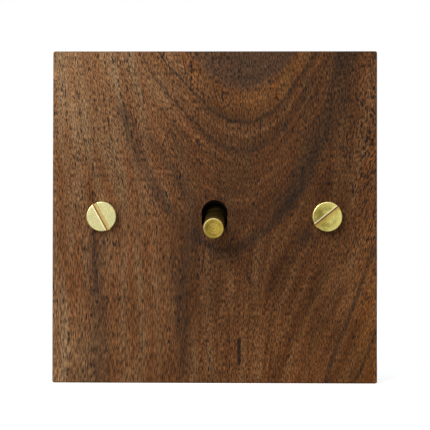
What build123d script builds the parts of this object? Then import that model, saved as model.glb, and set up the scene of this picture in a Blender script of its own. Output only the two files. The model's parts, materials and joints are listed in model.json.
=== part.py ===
from build123d import *
import math
import os

# Toggle light switch with a walnut plate, a brass lever and two brass fixing screws.
# Millimetres and degrees. X runs right as seen from the room, Y into the wall, Z up.
# The origin is the centre of the plate's back face, which lies on the wall.

# Clearances shared by the fits below
PRESS_GAP = 0.02
RUNNING_GAP = 0.05
SLIP_GAP = 0.1

# Wooden plate
PLATE_WIDTH = 87.0
PLATE_HEIGHT = 89.0
PLATE_THICKNESS = 8.0
PLATE_ARRIS_RADIUS = 0.45
RECESS_DEPTH = 2.0
RECESS_GAP = 0.3
POCKET_SIDE_GAP = 1.9
POCKET_HEADROOM = 0.4

# Brass screws that hold the switch to the wall box
FIXING_CENTRES = 60.3
FIXING_THREAD_RADIUS = 1.75
FIXING_NECK_RADIUS = 1.55
FIXING_LENGTH = 30.0
FIXING_HOLE_GAP = 0.25
HEAD_RADIUS = 4.0
HEAD_HEIGHT = 2.6
HEAD_BEVEL = 0.25
SLOT_WIDTH = 1.2
SLOT_DEPTH = 1.3
LEFT_SLOT_ANGLE = -61.4
RIGHT_SLOT_ANGLE = 38.8

# Steel strap bonded into the plate's recess
STRAP_WIDTH = 72.0
STRAP_HEIGHT = 44.0
STRAP_THICKNESS = 1.5
STRAP_CORNER_RADIUS = 3.0
STRAP_SLOT_TRAVEL = 2.2
STRAP_SLOT_GAP = 0.15

# Lever: one turned piece with a round tip, a ball on the pivot and a hollow tail
LEVER_TILT = 10.0
LEVER_ROD_RADIUS = 2.7
LEVER_REACH = 18.7
LEVER_EDGE = 0.25
LEVER_BALL_RADIUS = 4.5
LEVER_BALL_BAND = 2.4
LEVER_TAIL_RADIUS = 3.0
LEVER_TAIL_REACH = 8.0
LEVER_BORE_START = 1.8
LEVER_HOLE_SIDE_GAP = 0.8
LEVER_HOLE_END_GAP = 0.49

# Threaded bushing that carries the lever, with its pin and nut
PIVOT_AHEAD_OF_STRAP_BACK = 0.3
PIVOT_PIN_RADIUS = 0.9
PIVOT_PIN_SETBACK = 0.2
BUSHING_RADIUS = 6.0
BUSHING_STICKOUT = 3.0
BUSHING_FLANGE_RADIUS = 7.5
BUSHING_FLANGE = 1.0
BUSHING_SPIGOT_RADIUS = 5.5
BUSHING_MOUTH_GAP = 0.27
NUT_FLATS = 14.0
NUT_THICKNESS = 2.0

# Plunger and spring in the lever's tail
PLUNGER_RADIUS = 1.5
PLUNGER_START = 5.2
PLUNGER_REACH = 9.6
SPRING_WIRE = 0.3
SPRING_TURNS = 2.5

# Steel frame that holds the mechanism to the bushing
FRAME_SHEET = 1.2
FRAME_WIDTH = 16.0
FRAME_BEND = 0.5
FRAME_TAB_WIDTH = 8.0
FRAME_TAB_REACH = 2.7

# Insulating card, moulded case and moulded terminal base
CARD_THICKNESS = 0.8
CARD_HOLE_GAP = 0.3
CASE_WIDTH = 18.0
CASE_HEIGHT = 38.0
CASE_DEPTH = 12.5
CASE_WALL = 1.6
CASE_CORNER_RADIUS = 1.0
CASE_MOUTH_RADIUS = 6.5
BASE_DEPTH = 11.5

# Brass terminals and the steel screws that clamp the wires
PILLAR_WIDTH = 7.0
PILLAR_LENGTH = 9.0
PILLAR_EDGE = 0.3
TERMINAL_END_WALL = 1.5
WIRE_RADIUS = 1.6
WIRE_GUIDE_GAP = 0.3
CLAMP_RADIUS = 1.5
CLAMP_LENGTH = 5.0
CLAMP_WINDOW = 4.6
EARTH_FROM_SIDE = 16.0
EARTH_FROM_BOTTOM = 8.0
EARTH_LENGTH = 11.0
EARTH_SPIGOT_RADIUS = 1.5

# Rocking contact on its fulcrum
FULCRUM_DISTANCE = 13.6
ROCKER_RATIO = 0.8
ROCKER_SHEET = 1.0
ROCKER_WIDTH = 6.0
ROCKER_SPAN = 19.0
ROCKER_WING_OFFSET = 3.6
ROCKER_TROUGH_GAP = 0.147
ROCKER_EAR_SHEET = 0.8
ROCKER_EAR_RADIUS = 1.7
FULCRUM_PIN_RADIUS = 0.75
FULCRUM_PIN_OVERHANG = 0.6
FULCRUM_POST_RADIUS = 1.2
FULCRUM_SIDE_GAP = 0.2

# Contact tips, and the strips that carry the fixed ones
CONTACT_OFFSET = 8.0
CONTACT_WIDTH = 2.8
CONTACT_THICKNESS = 0.8
CONTACT_GAP = 0.1
STRIP_SHEET = 1.0
STRIP_WIDTH = 5.0
STRIP_OVERLAP = 1.7
STRIP_FOOT_SETBACK = 1.5

# Depths, front to back
FACE = -PLATE_THICKNESS
STRAP_FRONT = -RECESS_DEPTH
STRAP_BACK = STRAP_FRONT + STRAP_THICKNESS
BUSHING_FRONT = STRAP_FRONT - BUSHING_STICKOUT
PIVOT = STRAP_BACK - PIVOT_AHEAD_OF_STRAP_BACK
FLANGE_BACK = STRAP_BACK + BUSHING_FLANGE
FRAME_BACK = FLANGE_BACK + FRAME_SHEET
CARD_BACK = FRAME_BACK + CARD_THICKNESS
CASE_BACK = CARD_BACK + CASE_DEPTH
BASE_BACK = CASE_BACK + BASE_DEPTH
FULCRUM = PIVOT + FULCRUM_DISTANCE
PILLAR_FRONT = CASE_BACK + STRIP_SHEET
PILLAR_BACK = PILLAR_FRONT + PILLAR_LENGTH

# Height of the outer terminals from the common one, and place of the earth terminal on the strap
TERMINAL_PITCH = CASE_HEIGHT / 2 - TERMINAL_END_WALL - PILLAR_WIDTH / 2
EARTH_X = EARTH_FROM_SIDE - STRAP_WIDTH / 2
EARTH_Z = EARTH_FROM_BOTTOM - STRAP_HEIGHT / 2

# At rest the lever's tip is down, and the rocker leans the other way
LEVER_REST = Pos(0, PIVOT, 0) * Rot(X=LEVER_TILT)
ROCKER_TILT = LEVER_TILT * ROCKER_RATIO
ROCKER_REST = Pos(0, FULCRUM, 0) * Rot(X=-ROCKER_TILT)


def slab(outline, front, back):
    """An outline seen from the room, between two depths."""
    return extrude(Plane.XZ.offset(-back) * outline, back - front)


def side_slab(outline, left, right):
    """An outline drawn in depth and height, between two places in X."""
    return extrude(Plane.YZ.offset(left) * outline, right - left)


def rod(radius, front, back):
    """A round bar along Y."""
    return slab(Circle(radius), front, back)


def cross_rod(radius, left, right):
    """A round bar along X."""
    return side_slab(Circle(radius), left, right)


def turned(*profile):
    """A piece turned about Y, from the (depth, radius) points round half its section."""
    outline = make_face(Polyline(*[(radius, depth) for depth, radius in profile], close=True))
    return revolve(outline, Axis.Y)


def rod_edge(distance):
    """How far the tilted lever reaches from the centre line, at a distance ahead of the pivot."""
    tilt = math.radians(LEVER_TILT)
    return distance * math.tan(tilt) + LEVER_ROD_RADIUS / math.cos(tilt)


def slotted(head, width, depth, angle=0):
    """A head with a screwdriver slot across its front, which points out of the wall."""
    front = head.bounding_box().min.Y
    slot = Rectangle(2 * head.bounding_box().size.X, width)
    return head - slab(Rot(Z=angle) * slot, front, front + depth)


def wall_plate():
    """Solid wood, routed behind for the strap and the nut, and drilled twice for the lever."""
    plate = slab(Rectangle(PLATE_WIDTH, PLATE_HEIGHT), FACE, 0)
    plate = fillet(plate.faces().sort_by(Axis.Y)[0].edges(), PLATE_ARRIS_RADIUS)

    recess = RectangleRounded(
        STRAP_WIDTH + 2 * RECESS_GAP,
        STRAP_HEIGHT + 2 * RECESS_GAP,
        STRAP_CORNER_RADIUS + RECESS_GAP,
    )
    plate -= slab(recess, STRAP_FRONT, 0)
    pocket_radius = NUT_FLATS / math.sqrt(3) + POCKET_SIDE_GAP
    plate -= rod(pocket_radius, BUSHING_FRONT - POCKET_HEADROOM, 0)

    hole_radius = LEVER_ROD_RADIUS + LEVER_HOLE_SIDE_GAP
    hole_rise = rod_edge(PIVOT - FACE) + LEVER_HOLE_END_GAP - hole_radius
    for z in (-hole_rise, hole_rise):
        plate -= Pos(Z=z) * rod(hole_radius, FACE, 0)
    for x in (-FIXING_CENTRES / 2, FIXING_CENTRES / 2):
        plate -= Pos(X=x) * rod(FIXING_THREAD_RADIUS + FIXING_HOLE_GAP, FACE, 0)
    return plate


def fixing_screw(side, slot_angle):
    """Brass cheese head with a slot, a plain neck through the plate and a thread behind it."""
    head = turned(
        (FACE, 0),
        (FACE, HEAD_RADIUS),
        (FACE - HEAD_HEIGHT + HEAD_BEVEL, HEAD_RADIUS),
        (FACE - HEAD_HEIGHT, HEAD_RADIUS - HEAD_BEVEL),
        (FACE - HEAD_HEIGHT, 0),
    )
    thread_start = STRAP_BACK + SLIP_GAP
    thread_end = FACE + FIXING_LENGTH
    shank = turned(
        (FACE, 0),
        (FACE, FIXING_NECK_RADIUS),
        (thread_start, FIXING_NECK_RADIUS),
        (thread_start, FIXING_THREAD_RADIUS),
        (thread_end, FIXING_THREAD_RADIUS),
        (thread_end, 0),
    )
    screw = slotted(head, SLOT_WIDTH, SLOT_DEPTH, slot_angle) + shank
    return Pos(X=side * FIXING_CENTRES / 2) * screw


def mounting_strap():
    """Flat steel, with slots that let the switch be squared up on the wall box."""
    strap = slab(RectangleRounded(STRAP_WIDTH, STRAP_HEIGHT, STRAP_CORNER_RADIUS), STRAP_FRONT, STRAP_BACK)
    strap -= rod(BUSHING_RADIUS + SLIP_GAP, STRAP_FRONT, STRAP_BACK)
    slot_width = 2 * (FIXING_THREAD_RADIUS + STRAP_SLOT_GAP)
    for x in (-FIXING_CENTRES / 2, FIXING_CENTRES / 2):
        slot = Pos(X=x) * SlotCenterToCenter(STRAP_SLOT_TRAVEL, slot_width)
        strap -= slab(slot, STRAP_FRONT, STRAP_BACK)
    spigot_hole = rod(EARTH_SPIGOT_RADIUS + PRESS_GAP, STRAP_FRONT, STRAP_BACK)
    strap -= Pos(EARTH_X, 0, EARTH_Z) * spigot_hole
    return strap


def bushing():
    """Barrel with a shoulder for the ball, a flange behind the strap and a spigot staked in the frame."""
    body = rod(BUSHING_RADIUS, BUSHING_FRONT, STRAP_BACK)
    body += rod(BUSHING_FLANGE_RADIUS, STRAP_BACK, FLANGE_BACK)
    body += rod(BUSHING_SPIGOT_RADIUS, FLANGE_BACK, FRAME_BACK)
    bore_radius = LEVER_BALL_RADIUS + SLIP_GAP
    mouth_radius = rod_edge(PIVOT - BUSHING_FRONT) + BUSHING_MOUTH_GAP
    seat = PIVOT - math.sqrt(bore_radius**2 - mouth_radius**2)
    body -= rod(mouth_radius, BUSHING_FRONT, seat)
    body -= rod(bore_radius, seat, FRAME_BACK)
    pin_hole = cross_rod(PIVOT_PIN_RADIUS + PRESS_GAP, -BUSHING_FLANGE_RADIUS, BUSHING_FLANGE_RADIUS)
    return body - Pos(Y=PIVOT) * pin_hole


def pivot_pin():
    """Steel pin across the bushing, kept in by the strap's hole around it."""
    half = BUSHING_RADIUS - PIVOT_PIN_SETBACK
    return Pos(Y=PIVOT) * cross_rod(PIVOT_PIN_RADIUS, -half, half)


def bushing_nut():
    """Hexagon nut that clamps the strap to the bushing's flange."""
    front = STRAP_FRONT - NUT_THICKNESS
    nut = slab(RegularPolygon(NUT_FLATS / 2, 6, major_radius=False), front, STRAP_FRONT)
    return nut - rod(BUSHING_RADIUS + PRESS_GAP, front, STRAP_FRONT)


def toggle_lever():
    """Turned brass: plain rod, faceted ball with a band drilled for the pivot pin, and a bored tail."""
    ball_front = -math.sqrt(LEVER_BALL_RADIUS**2 - LEVER_ROD_RADIUS**2)
    ball_back = math.sqrt(LEVER_BALL_RADIUS**2 - LEVER_TAIL_RADIUS**2)
    band = LEVER_BALL_BAND / 2
    band_radius = math.sqrt(LEVER_BALL_RADIUS**2 - band**2)
    lever = turned(
        (-LEVER_REACH, 0),
        (-LEVER_REACH, LEVER_ROD_RADIUS - LEVER_EDGE),
        (-LEVER_REACH + LEVER_EDGE, LEVER_ROD_RADIUS),
        (ball_front, LEVER_ROD_RADIUS),
        (-band, band_radius),
        (band, band_radius),
        (ball_back, LEVER_TAIL_RADIUS),
        (LEVER_TAIL_REACH, LEVER_TAIL_RADIUS),
        (LEVER_TAIL_REACH, PLUNGER_RADIUS + SLIP_GAP),
        (LEVER_BORE_START, PLUNGER_RADIUS + SLIP_GAP),
        (LEVER_BORE_START, 0),
    )
    lever -= cross_rod(PIVOT_PIN_RADIUS + RUNNING_GAP, -LEVER_BALL_RADIUS, LEVER_BALL_RADIUS)
    return LEVER_REST * lever


def plunger():
    """Round plunger in the lever's tail, tapered to the end that rides in the rocker's trough."""
    taper = PLUNGER_RADIUS / math.sqrt(2)
    return LEVER_REST * turned(
        (PLUNGER_START, 0),
        (PLUNGER_START, PLUNGER_RADIUS),
        (PLUNGER_REACH, PLUNGER_RADIUS),
        (PLUNGER_REACH + taper, taper),
        (PLUNGER_REACH + taper, 0),
    )


def plunger_spring():
    """Coil spring between the floor of the lever's bore and the plunger."""
    rise = PLUNGER_START - LEVER_BORE_START - SPRING_WIRE - SLIP_GAP
    coil_radius = PLUNGER_RADIUS - SPRING_WIRE / 2
    coil = Helix(rise / SPRING_TURNS, rise, coil_radius)
    section = Plane(origin=coil @ 0, z_dir=coil % 0) * Rectangle(SPRING_WIRE, SPRING_WIRE)
    wire = sweep(section, path=coil, is_frenet=True)
    start = LEVER_BORE_START + (SPRING_WIRE + SLIP_GAP) / 2
    return LEVER_REST * Pos(Y=start) * Rot(X=-90) * wire


def switch_frame():
    """Steel strip bent to a U round the case, with two tabs folded over the terminal base."""
    middle = FRAME_SHEET / 2
    leg = CASE_HEIGHT / 2 + SLIP_GAP + middle
    front = FLANGE_BACK + middle
    back = BASE_BACK + middle
    tip = CASE_HEIGHT / 2 - FRAME_TAB_REACH
    bends = FilletPolyline(
        (back, tip), (back, leg), (front, leg), (front, -leg), (back, -leg), (back, -tip),
        radius=FRAME_BEND + middle,
    )
    frame = side_slab(trace(bends, FRAME_SHEET), -FRAME_WIDTH / 2, FRAME_WIDTH / 2)
    tab_start = BASE_BACK - FRAME_BEND
    for side in (-1, 1):
        cut_width = FRAME_WIDTH - FRAME_TAB_WIDTH
        centre = Pos(side * FRAME_WIDTH / 2, (tab_start + BASE_BACK + FRAME_SHEET) / 2, 0)
        depth = BASE_BACK + FRAME_SHEET - tab_start
        frame -= centre * Box(cut_width, depth, 2 * leg + 2 * FRAME_SHEET)
    return frame - rod(BUSHING_SPIGOT_RADIUS + PRESS_GAP, FLANGE_BACK, FRAME_BACK)


def insulation_card():
    """Fibre card between the steel frame and the case."""
    height = CASE_HEIGHT - 2 * FRAME_BEND
    card = slab(Rectangle(CASE_WIDTH, height), FRAME_BACK, CARD_BACK)
    return card - rod(BUSHING_RADIUS + CARD_HOLE_GAP, FRAME_BACK, CARD_BACK)


def case_body():
    """Moulded box, open behind, with a round mouth for the lever's tail."""
    case = slab(RectangleRounded(CASE_WIDTH, CASE_HEIGHT, CASE_CORNER_RADIUS), CARD_BACK, CASE_BACK)
    cavity = Rectangle(CASE_WIDTH - 2 * CASE_WALL, CASE_HEIGHT - 2 * CASE_WALL)
    case -= slab(cavity, CARD_BACK + CASE_WALL, CASE_BACK)
    return case - rod(CASE_MOUTH_RADIUS, CARD_BACK, CARD_BACK + CASE_WALL)


def terminal_places():
    """The upper, common and lower terminals, as places in Z."""
    return [Pos(Z=z) for z in (TERMINAL_PITCH, 0, -TERMINAL_PITCH)]


def terminal_base():
    """Moulded block that closes the case, with a pocket, a wire hole and a window for each terminal."""
    base = slab(RectangleRounded(CASE_WIDTH, CASE_HEIGHT, CASE_CORNER_RADIUS), CASE_BACK, BASE_BACK)
    ends = base.faces().sort_by(Axis.Y)[-1].edges().filter_by(Axis.X)
    base = chamfer(ends, FRAME_BEND)

    pocket_width = PILLAR_WIDTH + 2 * SLIP_GAP
    pocket = slab(Rectangle(pocket_width, pocket_width), CASE_BACK, PILLAR_BACK + SLIP_GAP)
    guide = rod(WIRE_RADIUS + WIRE_GUIDE_GAP, PILLAR_BACK, BASE_BACK)
    window = side_slab(Rectangle(CLAMP_WINDOW, CLAMP_WINDOW), 0, CASE_WIDTH / 2)
    window = Pos(Y=PILLAR_FRONT + PILLAR_LENGTH / 2) * window
    for place in terminal_places():
        base -= place * (pocket + guide + window)
    return base


def pillar(front, length, blind):
    """Square brass pillar, bored from behind for the wire and tapped from the right for its clamp."""
    back = front + length
    body = slab(Rectangle(PILLAR_WIDTH, PILLAR_WIDTH), front, back)
    body = chamfer(body.edges().filter_by(Axis.Y), PILLAR_EDGE)
    body -= rod(WIRE_RADIUS, front + blind, back)
    tapping = cross_rod(CLAMP_RADIUS + PRESS_GAP, 0, PILLAR_WIDTH / 2)
    return body - Pos(Y=back - PILLAR_LENGTH / 2) * tapping


def terminal_pillar(place):
    return place * pillar(PILLAR_FRONT, PILLAR_LENGTH, 0)


def clamp_screw():
    """Headless screw along X, backed off until the wire hole is clear."""
    tip = WIRE_RADIUS + RUNNING_GAP
    return cross_rod(CLAMP_RADIUS, tip, tip + CLAMP_LENGTH)


def terminal_screws():
    """One clamp screw for each of the three terminals."""
    screw = Pos(Y=PILLAR_BACK - PILLAR_LENGTH / 2) * clamp_screw()
    return Part() + [place * screw for place in terminal_places()]


def earth_terminal():
    """Brass pillar riveted to the strap, for the earth wire."""
    blind = EARTH_LENGTH - PILLAR_LENGTH
    spigot = rod(EARTH_SPIGOT_RADIUS, STRAP_FRONT, STRAP_BACK)
    terminal = pillar(STRAP_BACK, EARTH_LENGTH, blind) + spigot
    return Pos(EARTH_X, 0, EARTH_Z) * mirror(terminal, about=Plane.YZ)


def earth_screw():
    depth = STRAP_BACK + EARTH_LENGTH - PILLAR_LENGTH / 2
    return Pos(EARTH_X, depth, EARTH_Z) * mirror(clamp_screw(), about=Plane.YZ)


def fulcrum_bracket():
    """Brass foot on the common terminal, with a round-topped post that carries the rocker."""
    post_width = ROCKER_WIDTH - 2 * ROCKER_EAR_SHEET - 2 * FULCRUM_SIDE_GAP
    post = Pos(FULCRUM, 0) * Circle(FULCRUM_POST_RADIUS)
    post += Pos((FULCRUM + CASE_BACK) / 2, 0) * Rectangle(CASE_BACK - FULCRUM, 2 * FULCRUM_POST_RADIUS)
    post -= Pos(FULCRUM, 0) * Circle(FULCRUM_PIN_RADIUS + PRESS_GAP)
    foot = slab(Rectangle(PILLAR_WIDTH, PILLAR_WIDTH), CASE_BACK, PILLAR_FRONT)
    return foot + side_slab(post, -post_width / 2, post_width / 2)


def fulcrum_pin():
    half = ROCKER_WIDTH / 2 + FULCRUM_PIN_OVERHANG
    return Pos(Y=FULCRUM) * cross_rod(FULCRUM_PIN_RADIUS, -half, half)


def trough():
    """The rocker's trough as (centre depth, radius), from its fulcrum: it clears the plunger all the way."""
    middle = FULCRUM_DISTANCE - PLUNGER_REACH
    tip = ROCKER_REST.inverse() * LEVER_REST * Pos(Y=PLUNGER_REACH)
    depth, height = tip.position.Y, tip.position.Z
    centre = (depth**2 + height**2 - middle**2) / (2 * middle + 2 * depth)
    return centre, -middle - centre + PLUNGER_RADIUS + ROCKER_TROUGH_GAP


def rocker_contact():
    """Brass sheet with a pressed trough, a wing for each contact and two ears on the fulcrum pin."""
    centre, radius = trough()
    wing = Pos(-ROCKER_WING_OFFSET + ROCKER_SHEET / 2, 0) * Rectangle(ROCKER_SHEET, ROCKER_SPAN)
    band = Pos(centre, 0) * Circle(radius + ROCKER_SHEET)
    band &= Pos(0, 0) * Rectangle(2 * ROCKER_WING_OFFSET, ROCKER_SPAN)
    hollow = Pos(centre, 0) * Circle(radius)
    sheet = side_slab(wing + band - hollow, -ROCKER_WIDTH / 2, ROCKER_WIDTH / 2)

    ear = Pos(-ROCKER_WING_OFFSET / 2, 0) * Rectangle(ROCKER_WING_OFFSET, 2 * ROCKER_EAR_RADIUS)
    ear = ear + Circle(ROCKER_EAR_RADIUS) - hollow - Circle(FULCRUM_PIN_RADIUS + SLIP_GAP)
    outer = ROCKER_WIDTH / 2
    sheet += side_slab(ear, outer - ROCKER_EAR_SHEET, outer)
    sheet += side_slab(ear, -outer, ROCKER_EAR_SHEET - outer)
    return ROCKER_REST * sheet


def contact_tip(front):
    """Square silver tip on the closed rocker's upper contact place."""
    tip = slab(Rectangle(CONTACT_WIDTH, CONTACT_WIDTH), front, front + CONTACT_THICKNESS)
    return Pos(Z=CONTACT_OFFSET) * tip


def moving_contact(side):
    """Tip brazed to the back of one of the rocker's wings."""
    tip = contact_tip(-ROCKER_WING_OFFSET + ROCKER_SHEET)
    return ROCKER_REST * (tip if side > 0 else mirrored_down(tip))


def fixed_front():
    """Where a fixed contact's face lies from the fulcrum, square to the closed rocker."""
    return -ROCKER_WING_OFFSET + ROCKER_SHEET + CONTACT_THICKNESS + CONTACT_GAP


def fixed_contact():
    """The tip that the upper moving contact meets at rest."""
    return ROCKER_REST * contact_tip(fixed_front())


def contact_strip():
    """Brass strip from the front of the upper terminal to the back of its fixed contact."""
    middle = fixed_front() + CONTACT_THICKNESS + STRIP_SHEET / 2
    reach = [
        (ROCKER_REST * Pos(0, middle, CONTACT_OFFSET + step)).position
        for step in (-STRIP_OVERLAP, STRIP_OVERLAP)
    ]
    foot = CASE_BACK + STRIP_SHEET / 2
    foot_start = TERMINAL_PITCH - PILLAR_WIDTH / 2 + STRIP_FOOT_SETBACK
    foot_end = TERMINAL_PITCH + PILLAR_WIDTH / 2
    bends = Polyline(*[(place.Y, place.Z) for place in reach], (foot, foot_start), (foot, foot_end))
    return side_slab(trace(bends, STRIP_SHEET), -STRIP_WIDTH / 2, STRIP_WIDTH / 2)


def mirrored_down(piece):
    """The lower twin of a piece in the upper half."""
    return mirror(piece, about=Plane.XY)


upper, common, lower = terminal_places()
pieces = {
    "wall_plate": wall_plate(),
    "fixing_screw_left": fixing_screw(-1, LEFT_SLOT_ANGLE),
    "fixing_screw_right": fixing_screw(1, RIGHT_SLOT_ANGLE),
    "mounting_strap": mounting_strap(),
    "bushing": bushing(),
    "pivot_pin": pivot_pin(),
    "bushing_nut": bushing_nut(),
    "toggle_lever": toggle_lever(),
    "plunger": plunger(),
    "plunger_spring": plunger_spring(),
    "switch_frame": switch_frame(),
    "insulation_card": insulation_card(),
    "case_body": case_body(),
    "terminal_base": terminal_base(),
    "terminal_upper": terminal_pillar(upper),
    "terminal_common": terminal_pillar(common),
    "terminal_lower": terminal_pillar(lower),
    "terminal_screws": terminal_screws(),
    "earth_terminal": earth_terminal(),
    "earth_screw": earth_screw(),
    "fulcrum_bracket": fulcrum_bracket(),
    "fulcrum_pin": fulcrum_pin(),
    "rocker_contact": rocker_contact(),
    "moving_contact_upper": moving_contact(1),
    "moving_contact_lower": moving_contact(-1),
    "fixed_contact_upper": fixed_contact(),
    "fixed_contact_lower": mirrored_down(fixed_contact()),
    "contact_strip_upper": contact_strip(),
    "contact_strip_lower": mirrored_down(contact_strip()),
}

os.makedirs("parts", exist_ok=True)
for name, piece in pieces.items():
    export_step(piece, f"parts/{name}.step")
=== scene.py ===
import json
import math

import bpy
import mathutils
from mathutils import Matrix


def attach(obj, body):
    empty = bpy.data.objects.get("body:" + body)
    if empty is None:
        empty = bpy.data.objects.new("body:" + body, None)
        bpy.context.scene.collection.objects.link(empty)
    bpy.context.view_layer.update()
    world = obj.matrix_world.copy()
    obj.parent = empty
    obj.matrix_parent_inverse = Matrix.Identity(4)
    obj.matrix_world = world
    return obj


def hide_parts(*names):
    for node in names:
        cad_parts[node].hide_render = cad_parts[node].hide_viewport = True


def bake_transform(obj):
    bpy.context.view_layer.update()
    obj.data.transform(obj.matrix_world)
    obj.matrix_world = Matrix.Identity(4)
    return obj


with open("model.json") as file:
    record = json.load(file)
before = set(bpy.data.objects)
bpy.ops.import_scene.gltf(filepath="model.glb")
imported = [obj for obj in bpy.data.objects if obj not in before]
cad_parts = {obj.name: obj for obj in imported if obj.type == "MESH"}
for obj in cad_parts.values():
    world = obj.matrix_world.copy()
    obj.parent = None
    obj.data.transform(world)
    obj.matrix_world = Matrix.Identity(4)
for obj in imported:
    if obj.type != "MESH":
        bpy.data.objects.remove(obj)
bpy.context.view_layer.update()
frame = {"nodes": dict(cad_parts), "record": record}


# The plate: one board of walnut, plain-sawn, with its edges eased and an oiled, satin face.
# It is drilled for the lever and the two screws, and routed behind for the strap and the nut.
MM = 0.001
PLATE_WIDTH = 87.0
PLATE_THICKNESS = 8.0
PLATE_HEIGHT = 89.0
PLATE_CORNER = 0.55
FRONT_ARRIS = 0.45
BACK_ARRIS = 0.15
RECESS_WIDTH = 72.6
RECESS_HEIGHT = 44.6
RECESS_DEPTH = 2.0
RECESS_CORNER = 3.3
NUT_POCKET = 9.98
NUT_POCKET_DEPTH = 5.4
SCREW_X = 30.15
SCREW_HOLE = 2.0
LEVER_HOLE = 3.5
LEVER_HOLE_RISE = 1.0
WALNUT_TONES = [
    (0.0, (0.040, 0.0160, 0.0055)),
    (0.25, (0.070, 0.0285, 0.0100)),
    (0.5, (0.114, 0.0490, 0.0195)),
    (0.75, (0.148, 0.0745, 0.0350)),
    (1.0, (0.203, 0.1150, 0.0610)),
]
ORANGE_WOOD = (0.142, 0.0560, 0.0150)
WARM_BAND = (1.08, 0.95, 0.77)
COOL_BAND = (0.93, 0.98, 0.91)
RED_CAST = (0.98, 0.93, 0.85)
LEFT_FIGURE = (0.0260, 0.0152, 0.0096)
RIGHT_FIGURE = (0.0235, 0.0120, 0.0060)
INNER_WOOD = (0.047, 0.0270, 0.0155)
OPEN_PORE = (0.0120, 0.0092, 0.0080)
# Painted shade for the inside of the lever's hole.
HOLE_SHADE = (0.004, 0.0035, 0.003)


def only(piece):
    """Selects one piece and nothing else."""
    if bpy.context.object and bpy.context.object.mode != "OBJECT":
        bpy.ops.object.mode_set(mode="OBJECT")
    bpy.ops.object.select_all(action="DESELECT")
    piece.select_set(True)
    bpy.context.view_layer.objects.active = piece


def settle(piece):
    """Puts the piece's place, turn and size into its mesh."""
    only(piece)
    bpy.ops.object.transform_apply(location=True, rotation=True, scale=True)


def block(name, size, centre):
    """A box, sized and placed in mm."""
    bpy.ops.object.select_all(action="DESELECT")
    bpy.ops.mesh.primitive_cube_add(size=MM, location=[c * MM for c in centre], scale=size)
    piece = bpy.context.object
    piece.name = name
    settle(piece)
    return piece


def bar(name, radius, front, back, x=0.0, z=0.0, sides=96):
    """A round bar along Y, sized and placed in mm."""
    bpy.ops.object.select_all(action="DESELECT")
    bpy.ops.mesh.primitive_cylinder_add(
        vertices=sides,
        radius=radius * MM,
        depth=(back - front) * MM,
        location=(x * MM, (front + back) / 2 * MM, z * MM),
        rotation=(math.pi / 2, 0, 0),
    )
    piece = bpy.context.object
    piece.name = name
    settle(piece)
    return piece


def front_to_back(corners):
    """Whether an edge runs along Y."""
    return abs(corners[0].y - corners[1].y) > 1


def at_depth(depth):
    """A test of whether all of an edge lies at one depth."""
    return lambda corners: all(abs(c.y - depth) < 0.01 for c in corners)


def ease(piece, test, offset, segments):
    """Rounds the edges whose corners, in mm, pass a test."""
    only(piece)
    mesh = piece.data
    for parts in (mesh.vertices, mesh.edges, mesh.polygons):
        parts.foreach_set("select", [False] * len(parts))
    bpy.context.tool_settings.mesh_select_mode = (False, True, False)
    for edge in mesh.edges:
        edge.select = test([mesh.vertices[v].co / MM for v in edge.vertices])
    bpy.ops.object.mode_set(mode="EDIT")
    bpy.ops.mesh.bevel(offset=offset * MM, segments=segments, affect="EDGES")
    bpy.ops.object.mode_set(mode="OBJECT")


def cut_out(piece, cutter):
    """Takes the cutter's shape out of the piece."""
    only(piece)
    step = piece.modifiers.new("cut", "BOOLEAN")
    step.operation = "DIFFERENCE"
    step.solver = "EXACT"
    step.object = cutter
    bpy.ops.object.modifier_apply(modifier=step.name)
    bpy.data.objects.remove(cutter)


def smooth(piece, degrees=35):
    """Shades the piece smooth apart from edges sharper than an angle, and keeps its large faces flat."""
    only(piece)
    bpy.ops.object.shade_smooth_by_angle(angle=math.radians(degrees))
    step = piece.modifiers.new("flat_faces", "WEIGHTED_NORMAL")
    step.keep_sharp = True
    step.weight = 100
    bpy.ops.object.modifier_apply(modifier=step.name)


def dress(piece, finish):
    """Gives the piece one material."""
    piece.data.materials.clear()
    piece.data.materials.append(finish)


plate = block(
    "walnut_plate",
    (PLATE_WIDTH, PLATE_THICKNESS, PLATE_HEIGHT),
    (0, -PLATE_THICKNESS / 2, 0),
)
ease(plate, front_to_back, PLATE_CORNER, 5)
ease(plate, at_depth(-PLATE_THICKNESS), FRONT_ARRIS, 4)
ease(plate, at_depth(0), BACK_ARRIS, 2)

recess = block(
    "recess",
    (RECESS_WIDTH, RECESS_DEPTH + 1, RECESS_HEIGHT),
    (0, (1 - RECESS_DEPTH) / 2, 0),
)
ease(recess, front_to_back, RECESS_CORNER, 8)
cut_out(plate, recess)
cut_out(plate, bar("nut_pocket", NUT_POCKET, -NUT_POCKET_DEPTH, 1))
for z in (-LEVER_HOLE_RISE, LEVER_HOLE_RISE):
    cut_out(plate, bar("lever_hole", LEVER_HOLE, -PLATE_THICKNESS - 1, 0, z=z))
for x in (-SCREW_X, SCREW_X):
    cut_out(plate, bar("screw_hole", SCREW_HOLE, -PLATE_THICKNESS - 1, 0, x=x))
smooth(plate)


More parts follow.
